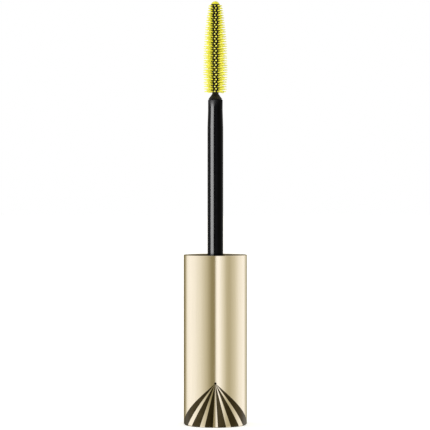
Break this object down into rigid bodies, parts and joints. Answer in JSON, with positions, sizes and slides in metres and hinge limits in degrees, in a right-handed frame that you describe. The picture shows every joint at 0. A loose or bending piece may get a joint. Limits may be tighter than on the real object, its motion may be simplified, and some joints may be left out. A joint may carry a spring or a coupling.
{
  "type": "mascara applicator",
  "caption": "Cosmetic applicator: round metal cap with a threaded inner cap, stem and moulded bristle brush.",
  "frame": {"origin": "centre of the cap's closed end, on the face that it stands on", "axes": "+Z from the closed end to the brush tip, -Y towards the ray decoration that faces the viewer"},
  "size_m": [0.018, 0.018, 0.12],
  "materials": {
    "gold_metal": "bright anodised, fine vertical grain",
    "black_lacquer": "gloss translucent-edged lacquer film",
    "steel": "turned",
    "liner_plastic": "moulded",
    "seal_rubber": "matt",
    "stem_plastic": "polished moulding",
    "brush_plastic": "fine moulded texture",
    "bristle_elastomer": "soft translucent elastomer"
  },
  "bodies": {
    "cap": {"cap_shell": "gold_metal", "ray_decoration": "black_lacquer", "cap_weight": "steel", "inner_cap": "liner_plastic", "neck_seal": "seal_rubber", "wand_stem": "stem_plastic", "brush_collar": "brush_plastic"},
    "neck": {"brush_neck": "brush_plastic"},
    "brush": {"brush_core": "brush_plastic", "bristles": "bristle_elastomer"}
  },
  "joints": [
    {"name": "brush_flex_fore", "type": "hinge", "parent": "cap", "child": "neck", "pos_m": [0, 0, 0.09392], "axis": [1, 0, 0], "range_deg": [-12, 12], "stiffness_Nm_per_rad": 0.02, "deforming": ["brush_neck"]},
    {"name": "brush_flex_side", "type": "hinge", "parent": "neck", "child": "brush", "pos_m": [0, 0, 0.09392], "axis": [0, 1, 0], "range_deg": [-12, 12], "stiffness_Nm_per_rad": 0.02}
  ]
}
